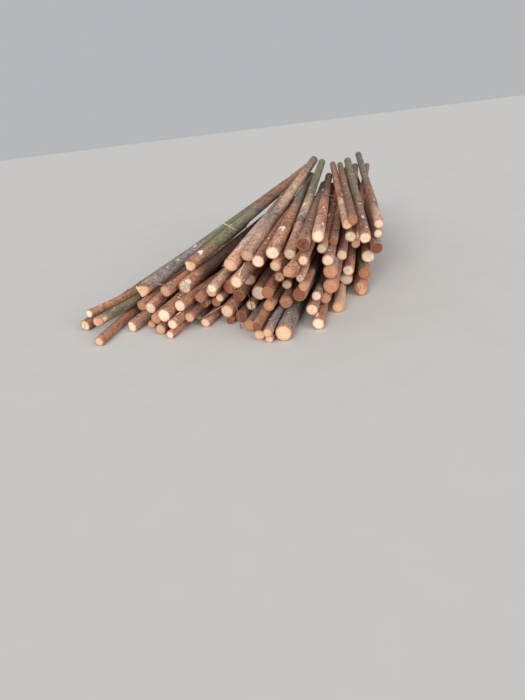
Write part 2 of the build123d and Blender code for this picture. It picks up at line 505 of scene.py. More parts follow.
def along_trunk(trunk, share):
    """The bark's colour and mossiness at places from butt to tip."""
    stops = TRUNKS[trunk]
    at = [stop[0] for stop in stops]
    tint = np.stack([np.interp(share, at, [BARK[s[1]][i] for s in stops]) for i in range(3)], axis=-1)
    return tint, np.interp(share, at, [stop[2] for stop in stops])


def bark_tones(rng, trunk, turn, along, share, from_saw):
    """The bark's colour and moss at each point. Bark is scuffed near the saw, and moss likes the top."""
    tint, moss = along_trunk(trunk, share + waves(rng, turn, along, 3, 0.02))
    scuffed = 0.4 * np.exp(-from_saw / SCUFFED_LONG)[..., None]
    tint = tint * (1 - scuffed) + BARK["salmon"] * scuffed
    tint = tint * (1 + waves(rng, turn, along, 4, 0.1))[..., None] * rng.uniform(0.94, 1.16)
    weather = 0.6 + 0.4 * np.cos(turn - math.pi / 2 + rng.uniform(-0.8, 0.8))
    return tint, moss * weather + waves(rng, turn, along, 4, 0.08) * (moss > 0.02)


def wounds(rng, log, turn, along, radius, whorl, marks, all_bare):
    """Where bark is off and where it is scarred: a few places by chance, and the log's own marks."""
    bare = np.full_like(along, float(all_bare))
    for _ in range(rng.integers(1, 4)):
        at = rng.uniform(0, log.length)
        gap = round_to(turn, rng.uniform(0, math.tau), radius)
        patch = bell(along - at, rng.uniform(0.02, 0.07)) * bell(gap, CHANCE_WOUND_WIDE)
        bare = np.maximum(bare, patch)
    scar = np.clip(whorl, 0, 1) * rng.uniform(0.3, 0.9)
    for mark in marks:
        gap = round_to(turn, math.pi / 2 - math.radians(mark.turn), radius)
        spread = ((along - mark.share * log.length) / mark.long) ** 2 + (gap / mark.wide) ** 2
        if mark.kind == "bare":
            bare = np.maximum(bare, 1.15 * np.exp(-(spread**2)))
        else:
            scar = np.maximum(scar, 1.3 * np.exp(-spread))
    return bare, scar


print("a bell at its reach is", round(float(bell(1, 1)), 2))

# %% [markdown]
# Now the shape of one log. A cylinder would do from afar, but a trunk is never quite round, swells at
# each whorl of branches and has a ragged bark edge where the saw went through. The log is laid out as
# a grid, around and along, and each point is pushed in or out by a few waves. The sawn end is a disc
# whose points slide back along the log to the felling cuts, so that no cutting of meshes is needed.

# %% Grow one log
EDGE_STEPS = [0.0, 0.0012, 0.004]
FIRST_RING = 0.012
CAP_RINGS = np.array([1.0, 0.955, 0.9, 0.82, 0.7, 0.54, 0.36, 0.18])[:, None]
MAX_SAW_TILT = math.radians(5)
BUMP_HEIGHT = 0.0013
WHORL_HEIGHT = 0.0022
OUTLINE_WAVE = 0.024
OUTLINE_LONG = 0.05
WORN_EDGE = 0.0022
WORN_LONG = 0.002
RIDGE_WIDE = 0.004
RIDGE_SPLINTER = 0.006
PATTERN_SHIFT = 2.7
# Wood tint factor that paints shade on the felling cuts that face right
PAINTED_SHADE_ON_RIGHT_CUTS = (0.95, 0.72, 0.58)


def close_end(shape, log, x, y, along, at_butt, shift, bark, wood, scar):
    """Adds the disc that closes an end: rings inwards from the edge, and a middle point."""
    rings, around = x.shape
    x, y, along = np.append(x, 0), np.append(y, 0), np.append(along, along[-1].mean())
    last = (rings - 1) * around
    faces = grid_faces(rings, around)
    faces += [[last + i, last + (i + 1) % around, last + around] for i in range(around)]
    if at_butt:
        faces = [face[::-1] for face in faces]
    place = np.stack([x, y, along + shift], axis=-1)
    rim = np.append(np.repeat(CAP_RINGS, around), 0)
    shape.add(log.point(x, y, along), faces, 1, place, bark, wood, rim=rim, scar=scar)


def grow(shape, log, trunk, wood, number, around, rings, marks, torn_by):
    """Adds one dressed log to a shape."""
    rng = np.random.default_rng(number)
    shift = number * PATTERN_SHIFT
    turn = np.linspace(0, math.tau, around, endpoint=False)[None, :]
    fine = np.linspace(FIRST_RING, 1 - EDGE_STEPS[2], rings)
    share = np.array(EDGE_STEPS + fine.tolist() + [1 - step for step in EDGE_STEPS[1::-1]])[:, None]
    tilt = rng.uniform(-1, 1, 2) * math.tan(MAX_SAW_TILT)

    def saw_face(x, y):
        lean = tilt[0] * x + tilt[1] * y + np.hypot(*tilt) * log.butt_radius
        return np.maximum(lean, log.butt_depth(x, y))

    start = saw_face(np.cos(turn) * log.butt_radius, np.sin(turn) * log.butt_radius)
    along = start + (log.length - start) * share
    from_saw = along - start
    whorl = whorls(rng, log, turn, along)
    radius = log.radius(along) + waves(rng, turn, along, 6, BUMP_HEIGHT) + WHORL_HEIGHT * whorl
    outline = waves(rng, turn * 2, 0 * along, 5, OUTLINE_WAVE)
    radius = radius * (1 + np.exp(-from_saw / OUTLINE_LONG) * outline)
    radius = radius - WORN_EDGE * bell(np.minimum(share, 1 - share) * log.length, WORN_LONG)
    x, y = np.cos(turn) * radius, np.sin(turn) * radius

    tint, moss = bark_tones(rng, trunk, turn, along, share, from_saw)
    bare, scar = wounds(rng, log, turn, along, radius, whorl, marks, trunk == "stripped")
    wood = WOOD[wood] * rng.uniform(0.93, 1.05)
    points = log.point(x, y, along).reshape(-1, 3)
    place = np.stack([x, y, along + shift], axis=-1).reshape(-1, 3)
    faces = grid_faces(len(share), around)
    shape.add(points, faces, 0, place, tint.reshape(-1, 3), wood, moss=moss, bare=bare, scar=scar)

    cap_x, cap_y, inside = x[0] * CAP_RINGS, y[0] * CAP_RINGS, CAP_RINGS < 1
    sawn_at = saw_face(cap_x, cap_y)
    torn = bell(sawn_at - log.butt_depth(cap_x, cap_y), RIDGE_WIDE) * (len(log.cuts) > 0) * inside
    cap_along = sawn_at - torn * rng.uniform(0, RIDGE_SPLINTER, sawn_at.shape)
    rough = waves(rng, turn * 3, CAP_RINGS * 2, 6, 0.5) + rng.uniform(-0.5, 0.5, sawn_at.shape)
    cap_along = cap_along + torn_by * np.abs(rough) * inside
    # Painted shade: felling-cut facets that face right, away from the light from the left, get a darker,
    # warmer wood tint
    on_right = log.butt_depth(cap_x, cap_y, right_only=True)
    painted_shade_facets = np.append((on_right > 0) & (on_right >= sawn_at), False)[:, None]
    butt_wood = np.where(painted_shade_facets, wood * PAINTED_SHADE_ON_RIGHT_CUTS, wood)
    ends = tint[0].mean(axis=0), tint[-1].mean(axis=0)
    close_end(shape, log, cap_x, cap_y, cap_along, True, shift, ends[0], butt_wood, float(torn_by > 0))
    cap_x, cap_y = x[-1] * CAP_RINGS, y[-1] * CAP_RINGS
    close_end(shape, log, cap_x, cap_y, np.full_like(cap_x, log.length), False, shift, ends[1], wood, 0.0)


print("one end has", len(CAP_RINGS), "rings")

# %% [markdown]
# Small branch stubs stand on the whorls, where the branches were lopped off flush with the bark. Each
# is a low oval collar with a flat pale top. They could be painted on, but their rims catch the light
# from the side, which is what makes a trunk look like one. They are so small that eight sides do.

# %% Add branch stubs
STUB_SEEDS_FROM = 5000
STUB_SIDES = 8
STUB_OVAL = 1.25
STUB_SUNK = 0.001


def stubs(shape, log, trunk, number):
    """Sets a few lopped branch stubs on a log."""
    rng = np.random.default_rng(number + STUB_SEEDS_FROM)
    turn = np.linspace(0, math.tau, STUB_SIDES, endpoint=False)
    for _ in range(rng.integers(4, 9)):
        at = rng.uniform(0.12, log.length - 0.1)
        where = rng.uniform(0, math.tau)
        reach = rng.uniform(0.006, 0.011)
        stand = rng.uniform(0.002, 0.006)
        base = float(log.radius(np.array(at)))
        out = math.cos(where) * log.side + math.sin(where) * log.up
        beside = np.cross(log.axis, out)
        profile = ((1.5, -0.004), (1.15, 0.4 * stand), (1.0, stand), (0.55, stand * 1.05))
        points = np.concatenate([
            log.near
            + log.axis * at
            + out * (base - STUB_SUNK + rise)
            + np.outer(np.cos(turn) * reach * size * STUB_OVAL, log.axis)
            + np.outer(np.sin(turn) * reach * size, beside)
            for size, rise in profile
        ])
        count = len(points)
        ring = np.stack([np.cos(turn) * reach, np.sin(turn) * reach], axis=-1)
        deep = np.full((count, 1), at + number * PATTERN_SHIFT)
        place = np.concatenate([np.tile(ring, (len(profile), 1)), deep], axis=1)
        tint, moss = along_trunk(trunk, np.array(at / log.length))
        faces = grid_faces(len(profile), STUB_SIDES) + [list(range(count - STUB_SIDES, count))]
        faces = [face[::-1] for face in faces]
        kinds = [0] * (2 * STUB_SIDES) + [1] * (STUB_SIDES + 1)
        shape.add(points, faces, kinds, place, tint * 0.8, WOOD["tan"], moss=float(moss), scar=0.7)


print("a stub has", STUB_SIDES, "sides")

# %% [markdown]
# The finishes are built from node groups, each one effect with named inputs and outputs. A group can
# be wired into any material, and its numbers are changed in one place. Painting image textures would
# give more control over single spots, but they stretch on ninety different logs, while a procedure
# follows each log's own coordinates: across, up and along. Long chains of Math nodes are hard to
# read, so a node's output is held as a wire, and sums are written with wires as if with numbers.


# %% Helpers for nodes
class Wire:
    """A node's output. A sum written with wires adds the nodes that work it out."""

    def __init__(self, tree, socket):
        self.tree, self.socket = tree, socket

    def __add__(self, other):
        return calc("ADD", self, other)

    def __sub__(self, other):
        return calc("SUBTRACT", self, other)

    def __rsub__(self, other):
        return calc("SUBTRACT", other, self)

    def __mul__(self, other):
        return calc("MULTIPLY", self, other)


def added(tree, kind, inputs, **settings):
    """Adds a node, with settings, and with values or wires for its inputs. Returns its outputs."""
    made = tree.nodes.new("ShaderNode" + kind)
    for key, value in settings.items():
        setattr(made, key, value)
    for key, value in inputs.items():
        if isinstance(value, Wire):
            tree.links.new(value.socket, made.inputs[key])
        else:
            made.inputs[key].default_value = value
    return made.outputs


def node(tree, kind, inputs, output=0, **settings):
    """Adds a node and returns a wire from one of its outputs."""
    return Wire(tree, added(tree, kind, inputs, **settings)[output])


def tree_of(values):
    """The node tree that some wires run in."""
    return next(value.tree for value in values if isinstance(value, Wire))


def calc(operation, *values):
    """A Math node."""
    return node(tree_of(values), "Math", dict(enumerate(values)), operation=operation)


def on_axes(operation, vector, other):
    """A sum on each axis of a vector."""
    return node(vector.tree, "VectorMath", {0: vector, 1: other}, operation=operation)


def stretched(vector, scale):
    return on_axes("MULTIPLY", vector, scale)


def noise(vector, scale, detail, roughness=0.55, output="Fac"):
    inputs = {"Vector": vector, "Scale": scale, "Detail": detail, "Roughness": roughness}
    return node(vector.tree, "TexNoise", inputs, output)


def between(value, low, high, out_low=0.0, out_high=1.0):
    """Maps a value from one range to another, and stops at its ends."""
    return node(value.tree, "MapRange", {0: value, 1: low, 2: high, 3: out_low, 4: out_high})


def blend(amount, first, second, how="MIX"):
    """Mixes two colours."""
    inputs = {0: amount, 6: first, 7: second}
    settings = {"data_type": "RGBA", "blend_type": how, "clamp_factor": True}
    return node(tree_of(inputs.values()), "Mix", inputs, 2, **settings)


def rgba(values):
    return (*(float(value) for value in values), 1.0)


def tinted(base, factors):
    """A colour times a constant for each of red, green and blue."""
    return blend(1.0, base, rgba(factors), "MULTIPLY")


def toned(base, tone):
    """A colour made lighter or darker by a tone."""
    grey = node(tone.tree, "CombineColor", {0: tone, 1: tone, 2: tone})
    return blend(1.0, base, grey, "MULTIPLY")


def painted(amount, base, red, green, blue):
    """A colour covered in part by another, which is given as read on a screen."""
    return blend(amount, base, rgba(colour(red, green, blue)))


def feed(sockets, values):
    """Links wires to the sockets of these names."""
    for name, value in values.items():
        value.tree.links.new(value.socket, sockets[name])


print("a tint in linear light", rgba(colour(*[188] * 3)))

# %% [markdown]
# A group is made in two steps: one names what goes in, the other names what comes out. Place and tint
# go into every group, so they are written down once.

# %% Open and close a node group
VECTOR, COLOUR, NUMBER = "NodeSocketVector", "NodeSocketColor", "NodeSocketFloat"
PLACE = ("Place", VECTOR, (0.0, 0.0, 0.0))
TINT = ("Tint", COLOUR, (0.5, 0.3, 0.2, 1.0))


def new_group(name, *inputs):
    """A node group with named inputs. Returns it and a wire from each of them."""
    group = bpy.data.node_groups.new(name, "ShaderNodeTree")
    for label, kind, value in inputs:
        socket = group.interface.new_socket(label, in_out="INPUT", socket_type=kind)
        socket.default_value = value
    entry = group.nodes.new("NodeGroupInput").outputs
    return group, *(Wire(group, entry[label]) for label, _, _ in inputs)


def leave(group, **outputs):
    """Gives a group its named outputs."""
    for label in outputs:
        kind = COLOUR if label == "Color" else NUMBER
        group.interface.new_socket(label, in_out="OUTPUT", socket_type=kind)
    feed(group.nodes.new("NodeGroupOutput").inputs, outputs)
    print(group.name, len(group.nodes), "nodes")


# %% [markdown]
# Pine bark is a stack of thin papery flakes. Old flakes lift at their edges and leave islands with
# dark cracks between them, longer along the trunk than across. A Voronoi pattern gives the islands,
# a colour of its own for each, and the distance to the next one, which becomes the crack. A finer
# noise adds the papery layers. The same group dresses the trunks, the twigs and the loose flakes.

# %% Bark flakes as a node group
flakes, place, tint, depth = new_group("Bark flakes", PLACE, TINT, ("Crack Depth", NUMBER, 0.6))
wobble = on_axes("SUBTRACT", noise(place, 45.0, 3.0, 0.5, "Color"), (0.5, 0.5, 0.5))
bent = on_axes("ADD", place, stretched(wobble, (0.014, 0.014, 0.03)))
long_place = {"Vector": stretched(bent, (1.0, 1.0, 0.42)), "Scale": 75.0}
cells = node(flakes, "TexVoronoi", long_place, "Color", feature="F1")
edges = node(flakes, "TexVoronoi", long_place, "Distance", feature="DISTANCE_TO_EDGE")
crack = between(edges, 0.0, 0.11, 1.0, 0.0) * depth
papery = noise(long_place["Vector"], 260.0, 5.0, 0.65)
blotch = noise(place, 14.0, 3.0)
island = node(flakes, "SeparateColor", {0: cells})
patch = noise(stretched(bent, (1.0, 1.0, 0.4)), 26.0, 4.0, 0.65)
fresh = tinted(tint, (1.32, 1.24, 1.16))
skin = toned(tint, island * 0.34 + papery * 0.62 + blotch * 0.7 + 0.13)
skin = blend(between(patch, 0.52, 0.58, 0.0, 0.6), skin, fresh)
skin = blend(between(patch, 0.37, 0.44, 0.6, 0.0), skin, tinted(tint, (0.46, 0.44, 0.44)))
skin = blend(between(papery, 0.62, 0.72) * 0.5, skin, fresh)
leave(
    flakes,
    Color=painted(crack * 0.85, skin, 58, 38, 30),
    Roughness=between(papery, 0.2, 0.8, 0.78, 0.95),
    Height=papery * 0.6 - crack * 0.9 + island * 0.35,
)

# %% [markdown]
# The tops of pines are dotted with the dark scars of dead branches. The branch stubs are real shape,
# but the many small scars between them need only a colour and a dimple. Points strewn through space
# by a Voronoi pattern do this: where one lies just under the bark, it makes a spot.

# %% Knot scars as a node group
knots, place, tint = new_group("Knot scars", PLACE, TINT)
strewn = node(knots, "TexVoronoi", {"Vector": place, "Scale": 12.0}, "Distance", feature="F1")
spot = between(strewn + noise(place, 160.0, 3.0) * 0.08, 0.13, 0.17, 0.85, 0.0)
leave(knots, Color=painted(spot, tint, 62, 44, 36), Height=spot)

# %% [markdown]
# Moss, algae and lichen sit on top of the bark in soft patches. A vertex value says how mossy a
# stretch of trunk is, and noise at two scales decides where the patches begin, so that they thin out
# into specks instead of fading like paint.

# %% Moss as a node group
moss_growth, place, tint, amount = new_group("Moss growth", PLACE, TINT, ("Amount", NUMBER, 0.0))
specks = noise(place, 210.0, 3.0, 0.6)
field = noise(place, 22.0, 5.0, 0.6) * 0.75 + specks * 0.35
threshold = 0.86 - amount * 0.62
cover = between(field - threshold, 0.0, 0.22, 0.0, 0.66)
green = blend(specks, rgba(colour(98, 102, 72)), rgba(colour(172, 172, 136)))
leave(moss_growth, Color=blend(cover, tint, green), Cover=cover)

# %% [markdown]
# Bare wood shows where bark was knocked off, and on chips. Its fibres run along the trunk, so the
# noise is squeezed across and drawn out along it. A photograph of planed wood would look too neat.

# %% Wood fibre as a node group
fibre, place, tint = new_group("Wood fibre", PLACE, TINT)
streaks = noise(stretched(place, (1.0, 1.0, 0.05)), 420.0, 4.0, 0.6)
soft = noise(stretched(place, (1.0, 1.0, 0.25)), 40.0, 3.0)
leave(
    fibre,
    Color=toned(tint, streaks * 0.5 + soft * 0.5 + 0.5),
    Roughness=between(soft, 0.3, 0.7, 0.6, 0.8),
    Height=streaks,
)

# %% [markdown]
# The sawn end is what one sees first. It has growth rings around the pith, a paler heart inside a
# warmer ring, short drying cracks, and the coarse arcs of a chain saw. The rings come from the
# distance to the pith, bent by noise so that they aren't compass-drawn. A vertex value rises from 0 at
# the pith to 1 at the edge, where the bark begins.

# %% Sawn wood as a node group
sawn, place, tint, rim, torn, bark_tint = new_group(
    "Sawn wood", PLACE, TINT, ("Rim", NUMBER, 0.5), ("Torn", NUMBER, 0.0),
    ("Bark Tint", COLOUR, (0.2, 0.1, 0.07, 1.0)),
)
across, upward, lengthwise = (Wire(sawn, axis) for axis in added(sawn, "SeparateXYZ", {0: place}))
distance = calc("SQRT", across * across + upward * upward)
warp = (noise(place, 26.0, 2.0) - 0.5) * 0.012
bent = distance + warp
late = between(calc("FRACT", bent * 300.0), 0.55, 0.98)
late = late * late
heart = between(rim + warp * 12.0, 0.3, 0.62, 1.0, 0.0)
stain = noise(place, 32.0, 4.0, 0.6)
bands = noise(node(sawn, "CombineXYZ", {0: bent, 2: lengthwise}), 110.0, 3.0, 0.6)
stained = tinted(tint, (0.82, 0.62, 0.5))
body = blend(heart * 0.8, tint, tinted(tint, (1.06, 1.14, 1.16)))
body = blend(between(stain, 0.5, 0.72, 0.0, 0.5), body, stained)
body = blend(late * 0.4, body, stained)
body = blend(between(bands, 0.5, 0.62, 0.0, 0.45), body, stained)
print("rings and stains", len(sawn.nodes), "nodes")

# %% [markdown]
# The same group goes on with what befell the end: drying cracks that run out from the pith, dirt, a
# dark pith, splinters where it tore, and the ring where the bark begins. Each could be a group of its
# own, but they all need the same rings and stains, so they stay together.

# %% Cracks, dirt, splinters and rim of the sawn wood
angle = calc("ARCTAN2", upward, across)
spokes = node(sawn, "CombineXYZ", {0: angle, 1: distance * 6.0, 2: lengthwise})
check = between(calc("ABSOLUTE", noise(spokes, 3.4, 5.0, 0.7) - 0.5), 0.0, 0.012, 1.0, 0.0)
check = check * between(rim, 0.35, 0.75, 0.8, 0.0)
body = painted(check, body, 96, 58, 38)
dirt = between(noise(place, 90.0, 5.0, 0.7), 0.56, 0.74, 0.0, 0.5)
body = painted(dirt, body, 122, 82, 58)
body = painted(between(rim, 0.03, 0.08, 0.7, 0.0), body, 166, 128, 92)
shreds = noise(stretched(place, (1.0, 0.16, 1.0)), 150.0, 4.0, 0.65)
torn_wood = blend(between(shreds, 0.36, 0.56), tinted(tint, (0.5, 0.36, 0.28)), tint)
body = blend(torn * between(stain, 0.35, 0.5, 0.5, 1.0), body, torn_wood)
margin = rim + (noise(place, 60.0, 4.0, 0.65) - 0.5) * 0.22
body = blend(between(margin, 0.62, 0.92, 0.0, 0.6), body, tinted(body, (0.82, 0.6, 0.44)))
body = painted(between(margin, 0.88, 0.93, 0.0, 0.8), body, 180, 108, 70)
swept = {"Vector": place, "Scale": 55.0, "Distortion": 5.0, "Detail": 2.0, "Detail Scale": 3.0}
saw_lines = node(sawn, "TexWave", swept, "Fac", bands_direction="DIAGONAL")
leave(
    sawn,
    Color=blend(between(margin, 0.95, 0.98), body, tinted(bark_tint, (0.7, 0.62, 0.58))),
    Roughness=between(stain, 0.3, 0.7, 0.62, 0.8),
    Height=saw_lines * 0.35 + late * 0.25 + shreds * (torn * 2.0) - check,
)

# %% [markdown]
# Two materials use these groups on every log. The bark material layers flakes, then bare patches,
# then dark branch whorls, then moss. The wood material is the sawn end. Both read the values that
# were stored at the mesh's points, so one pair serves all logs and no two look alike.


# %% Make the materials
def fact(tree, name, output="Fac"):
    """Reads a value stored at the mesh's points."""
    return node(tree, "Attribute", {}, output, attribute_name=name)


def grouped(group, inputs):
    """Uses a group as a node. Returns a wire from each of its outputs, by name."""
    tree = inputs["Place"].tree
    outputs = added(tree, "Group", inputs, node_tree=group)
    return {socket.name: Wire(tree, socket) for socket in outputs}


def new_material(name, specular):
    """A material with nodes, its node tree and its main shader's inputs."""
    material = bpy.data.materials.new(name)
    material.use_nodes = True
    shader = material.node_tree.nodes["Principled BSDF"].inputs
    shader["Specular IOR Level"].default_value = specular
    return material, material.node_tree, shader


def bump(height, strength, distance):
    inputs = {"Strength": strength, "Distance": distance, "Height": height}
    return node(height.tree, "Bump", inputs, "Normal")


def bark_material():
    material, tree, shader = new_material("pine_bark", 0.25)
    place, tint = fact(tree, "log_place", "Vector"), fact(tree, "bark_tint", "Color")
    bark = grouped(flakes, {"Place": place, "Tint": tint, "Crack Depth": 0.7})
    raw = grouped(fibre, {"Place": place, "Tint": fact(tree, "wood_tint", "Color")})
    bare = between(fact(tree, "bare") + (noise(place, 70.0, 4.0) - 0.5) * 0.9, 0.42, 0.5)
    nicks = between(noise(stretched(place, (1.0, 1.0, 0.5)), 85.0, 3.0, 0.6), 0.69, 0.71)
    bare = calc("MAXIMUM", bare, nicks)
    knotted = grouped(knots, {"Place": place, "Tint": bark["Color"]})
    skin = blend(bare, knotted["Color"], raw["Color"])
    scar = fact(tree, "scar") + noise(place, 120.0, 3.0) * 0.6
    skin = painted(between(scar, 0.75, 1.1, 0.0, 0.7), skin, 64, 44, 36)
    moss = grouped(moss_growth, {"Place": place, "Tint": skin, "Amount": fact(tree, "moss")})
    height = (bark["Height"] - knotted["Height"]) * (1.0 - bare) + moss["Cover"] * 0.3
    normal = bump(height, 0.9, 0.003)
    feed(shader, {"Base Color": moss["Color"], "Roughness": bark["Roughness"], "Normal": normal})
    return material


def wood_material():
    material, tree, shader = new_material("sawn_wood", 0.3)
    wood = grouped(sawn, {
        "Place": fact(tree, "log_place", "Vector"), "Tint": fact(tree, "wood_tint", "Color"),
        "Rim": fact(tree, "rim"), "Torn": fact(tree, "scar"),
        "Bark Tint": fact(tree, "bark_tint", "Color"),
    })
    normal = bump(wood["Height"], 0.6, 0.0012)
    feed(shader, {"Base Color": wood["Color"], "Roughness": wood["Roughness"], "Normal": normal})
    return material


MATERIALS = [bark_material(), wood_material()]
print("materials", [m.name for m in MATERIALS])

# %% [markdown]
# With shape, looks and finishes in hand, each layer becomes one mesh that stands in for its node. One
# object for each log would be easier to select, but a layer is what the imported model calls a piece,
# and a joined mesh keeps the scene light. The logs with a layer of their own, whose trunks are seen
# best, get a finer grid.

# %% Build every layer
FINE_GRID = (56, 150)
PLAIN_GRID = (40, 64)


def built(name, shape):
    """Turns a shape into an object that carries its stored values."""
    mesh = bpy.data.meshes.new(name)
    mesh.from_pydata(np.concatenate(shape.points).tolist(), [], shape.faces)
    for material in MATERIALS:
        mesh.materials.append(material)
    mesh.polygons.foreach_set("material_index", shape.kinds)
    mesh.polygons.foreach_set("use_smooth", [kind == 0 for kind in shape.kinds])
    place = mesh.attributes.new("log_place", "FLOAT_VECTOR", "POINT")
    place.data.foreach_set("vector", np.concatenate(shape.place).ravel())
    for label, rows in (("bark_tint", shape.bark), ("wood_tint", shape.wood)):
        values = np.clip(np.concatenate(rows), 0, 1)
        values = np.concatenate([values, np.ones((len(values), 1))], axis=1)
        tint = mesh.color_attributes.new(label, "FLOAT_COLOR", "POINT")
        tint.data.foreach_set("color", values.ravel())
    facts = np.concatenate(shape.facts)
    for column, label in enumerate(("rim", "moss", "bare", "scar")):
        stored = mesh.attributes.new(label, "FLOAT", "POINT")
        stored.data.foreach_set("value", np.ascontiguousarray(facts[:, column]))
    mesh.update()
    made = bpy.data.objects.new(name, mesh)
    bpy.context.scene.collection.objects.link(made)
    return made


number = 0
triangles = 0
for name, logs in layers.items():
    shape = Shape()
    grid = FINE_GRID if len(logs) == 1 else PLAIN_GRID
    for index, log in enumerate(logs):
        number += 1
        trunk, wood = LOOKS[name][index]
        marks, torn_by = MARKS.get((name, index), ()), TORN_ENDS.get((name, index), 0.0)
        grow(shape, log, trunk, wood, number, *grid, marks, torn_by)
        stubs(shape, log, trunk, number)
    piece = built(name + "_dressed", shape)
    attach(piece, "root")
    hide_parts(name)
    triangles += sum(len(face) - 2 for face in shape.faces)
    print(piece.name, len(shape.faces), "faces")
print("triangles", triangles)

# %% [markdown]
# Twigs, chips and scraps of bark lie on every heap that was thrown up by hand. They could be scattered
# with a particle system, but then some would float or sink in. So a ray is sent straight down from
# each place to find the log under it. A chip takes the tilt of the bark that it lies on. A twig is
# stiff, so a taut line over everything beneath it shows which two points it rests on.

# %% Find what lies under a place
RAY_FROM = 2.0
resting_on = BVHTree.FromPolygons(all_corners, all_faces)


def under(x, y):
    """The place straight under a point of the plan, and the way that it faces."""
    hit, facing, _, _ = resting_on.ray_cast(Vector((x, y, RAY_FROM)), Vector((0, 0, -1)))
    if hit is None:
        return np.array((x, y, 0.0)), np.array((0.0, 0.0, 1.0))
    return np.array(hit), np.array(facing)


def taut(run, heights):
    """The places where a line drawn tight over a run of heights touches them."""
    chain = []
    for point in zip(run, heights):
        while len(chain) > 1:
            (r0, h0), (r1, h1) = chain[-2], chain[-1]
            if (r1 - r0) * (point[1] - h0) < (h1 - h0) * (point[0] - r0):
                break
            chain.pop()
        chain.append(point)
    return chain


print("under the middle", under(0, 0)[0].round(3))

# %% [markdown]
# Twigs are crooked six-sided rods that thin towards their tips. Most lie over the trunks. A few lean
# on the butts from the ground, and a strip of torn bark hangs down from one butt. Curves with a bevel
# would be quicker to draw, but they would not carry the bark's own coordinates.

# %% Lay and lean the twigs
TWIG_SIDES = 6
TWIG_THINS_BY = 0.55
LAID_STEPS = 15
LEANING_STEPS = 9


def stick(shape, path, thick, bark, bare, number):
    """Adds a crooked stick that thins towards its end."""
    rng = np.random.default_rng(number)
    path = np.asarray(path)
    run = np.append(0, np.cumsum(np.linalg.norm(np.diff(path, axis=0), axis=1)))
    ahead = np.gradient(path, axis=0)
    ahead = ahead / np.linalg.norm(ahead, axis=1)[:, None]
    beside = np.cross(ahead, (0, 0, 1.0))
    beside = beside / np.linalg.norm(beside, axis=1)[:, None]
    above = np.cross(beside, ahead)
    turn = np.linspace(0, math.tau, TWIG_SIDES, endpoint=False)
    radius = thick / 2 * (1 - TWIG_THINS_BY * run / run[-1]) * rng.uniform(0.85, 1.15, len(run))
    round_x = np.cos(turn)[None, :, None] * radius[:, None, None]
    round_y = np.sin(turn)[None, :, None] * radius[:, None, None]
    points = (path[:, None] + round_x * beside[:, None] + round_y * above[:, None]).reshape(-1, 3)
    lengthwise = np.repeat(run + number, TWIG_SIDES)[:, None]
    place = np.concatenate([round_x.reshape(-1, 1), round_y.reshape(-1, 1), lengthwise], axis=1)
    count = len(points)
    faces = grid_faces(len(path), TWIG_SIDES)
    faces += [list(range(TWIG_SIDES))[::-1], list(range(count - TWIG_SIDES, count))]
    shape.add(points, faces, 0, place, BARK[bark], WOOD["pale"], bare=bare)


def crooked(rng, path, bend):
    """The path with a random bend that leaves both its ends in place."""
    sway = np.cumsum(rng.uniform(-1, 1, path.shape) * bend, axis=0)
    return path + sway - np.linspace(sway[0], sway[-1], len(path))


def laid_stick(shape, start, end, thick, bark, bare, number):
    """Lays a stiff stick over whatever lies between two places of the plan."""
    plan = np.linspace(start, end, LAID_STEPS)
    run = np.linspace(0, math.dist(start, end), LAID_STEPS)
    rests = taut(run, [under(x, y)[0][2] for x, y in plan])
    left = max(point for point in rests if point[0] <= run[-1] / 2)
    right = min(point for point in rests if point[0] > run[-1] / 2)
    slope = (right[1] - left[1]) / (right[0] - left[0])
    level = left[1] + slope * (run - left[0]) + thick / 2
    plan = crooked(np.random.default_rng(number), plan, 0.004)
    stick(shape, np.column_stack([plan, level]), thick, bark, bare, number)


def leaning_stick(shape, foot, head, thick, bark, bare, number):
    """Leans a crooked stick from one point to another."""
    path = np.linspace(foot, head, LEANING_STEPS)
    path = crooked(np.random.default_rng(number), path, np.array((0.003, 0.003, 0.0009)))
    stick(shape, path, thick, bark, bare, number)


TWIGS = [
    ((-1.05, -0.845), (-0.68, -1.085), 0.021, "dun", 0.0),
    ((-0.3, -0.55), (-0.18, -0.72), 0.008, "tan", 0.9),
    ((0.02, -0.2), (0.1, -0.35), 0.007, "brown", 0.0),
    ((0.3, -0.9), (0.46, -1.0), 0.007, "brown", 0.2),
    ((0.62, -0.45), (0.86, -0.52), 0.009, "brown", 0.0),
    ((-0.245, -0.2), (-0.125, -0.285), 0.008, "tan", 0.9),
    ((0.2, 0.4), (0.5, 0.32), 0.01, "brown", 0.0),
]
LEANING = [
    ((-0.49, -1.312, 0.078), (-0.2, -1.342, 0.224), 0.014, "dun", 0.0),
    ((-0.17, -1.46, 0.007), (-0.203, -1.222, 0.282), 0.009, "dun", 0.0),
    ((-0.05, -1.42, 0.007), (-0.08, -1.222, 0.216), 0.008, "brown", 0.0),
    ((-0.13, -1.4, 0.434), (-0.075, -1.232, 0.481), 0.012, "tan", 0.9),
]
LAID_FROM, LEANING_FROM = 300, 350
twigs = Shape()
for number, row in enumerate(TWIGS):
    laid_stick(twigs, *row, LAID_FROM + number)
for number, row in enumerate(LEANING):
    leaning_stick(twigs, *row, LEANING_FROM + number)
print("twigs", len(TWIGS) + len(LEANING))

# %% [markdown]
# Chips and scraps of bark are six-cornered flakes, a little curled, strewn more thickly towards the
# butts. They could all be copies of one flake, but a random outline each costs nothing. A chip that
# would fall to the ground or hang on a steep flank is left out.

# %% Strew the chips
CHIPS = 190
CHIPS_FROM = 400
CHIP_OUTLINE = np.array([(-1, -0.5), (-0.5, -1), (0.6, -0.8), (1, 0.1), (0.5, 0.9), (-0.6, 0.8)])
CHIP_CURL = 0.15
WOOD_SHARE = 0.55
LOWEST_CHIP = 0.02
STEEPEST_CHIP = 0.5


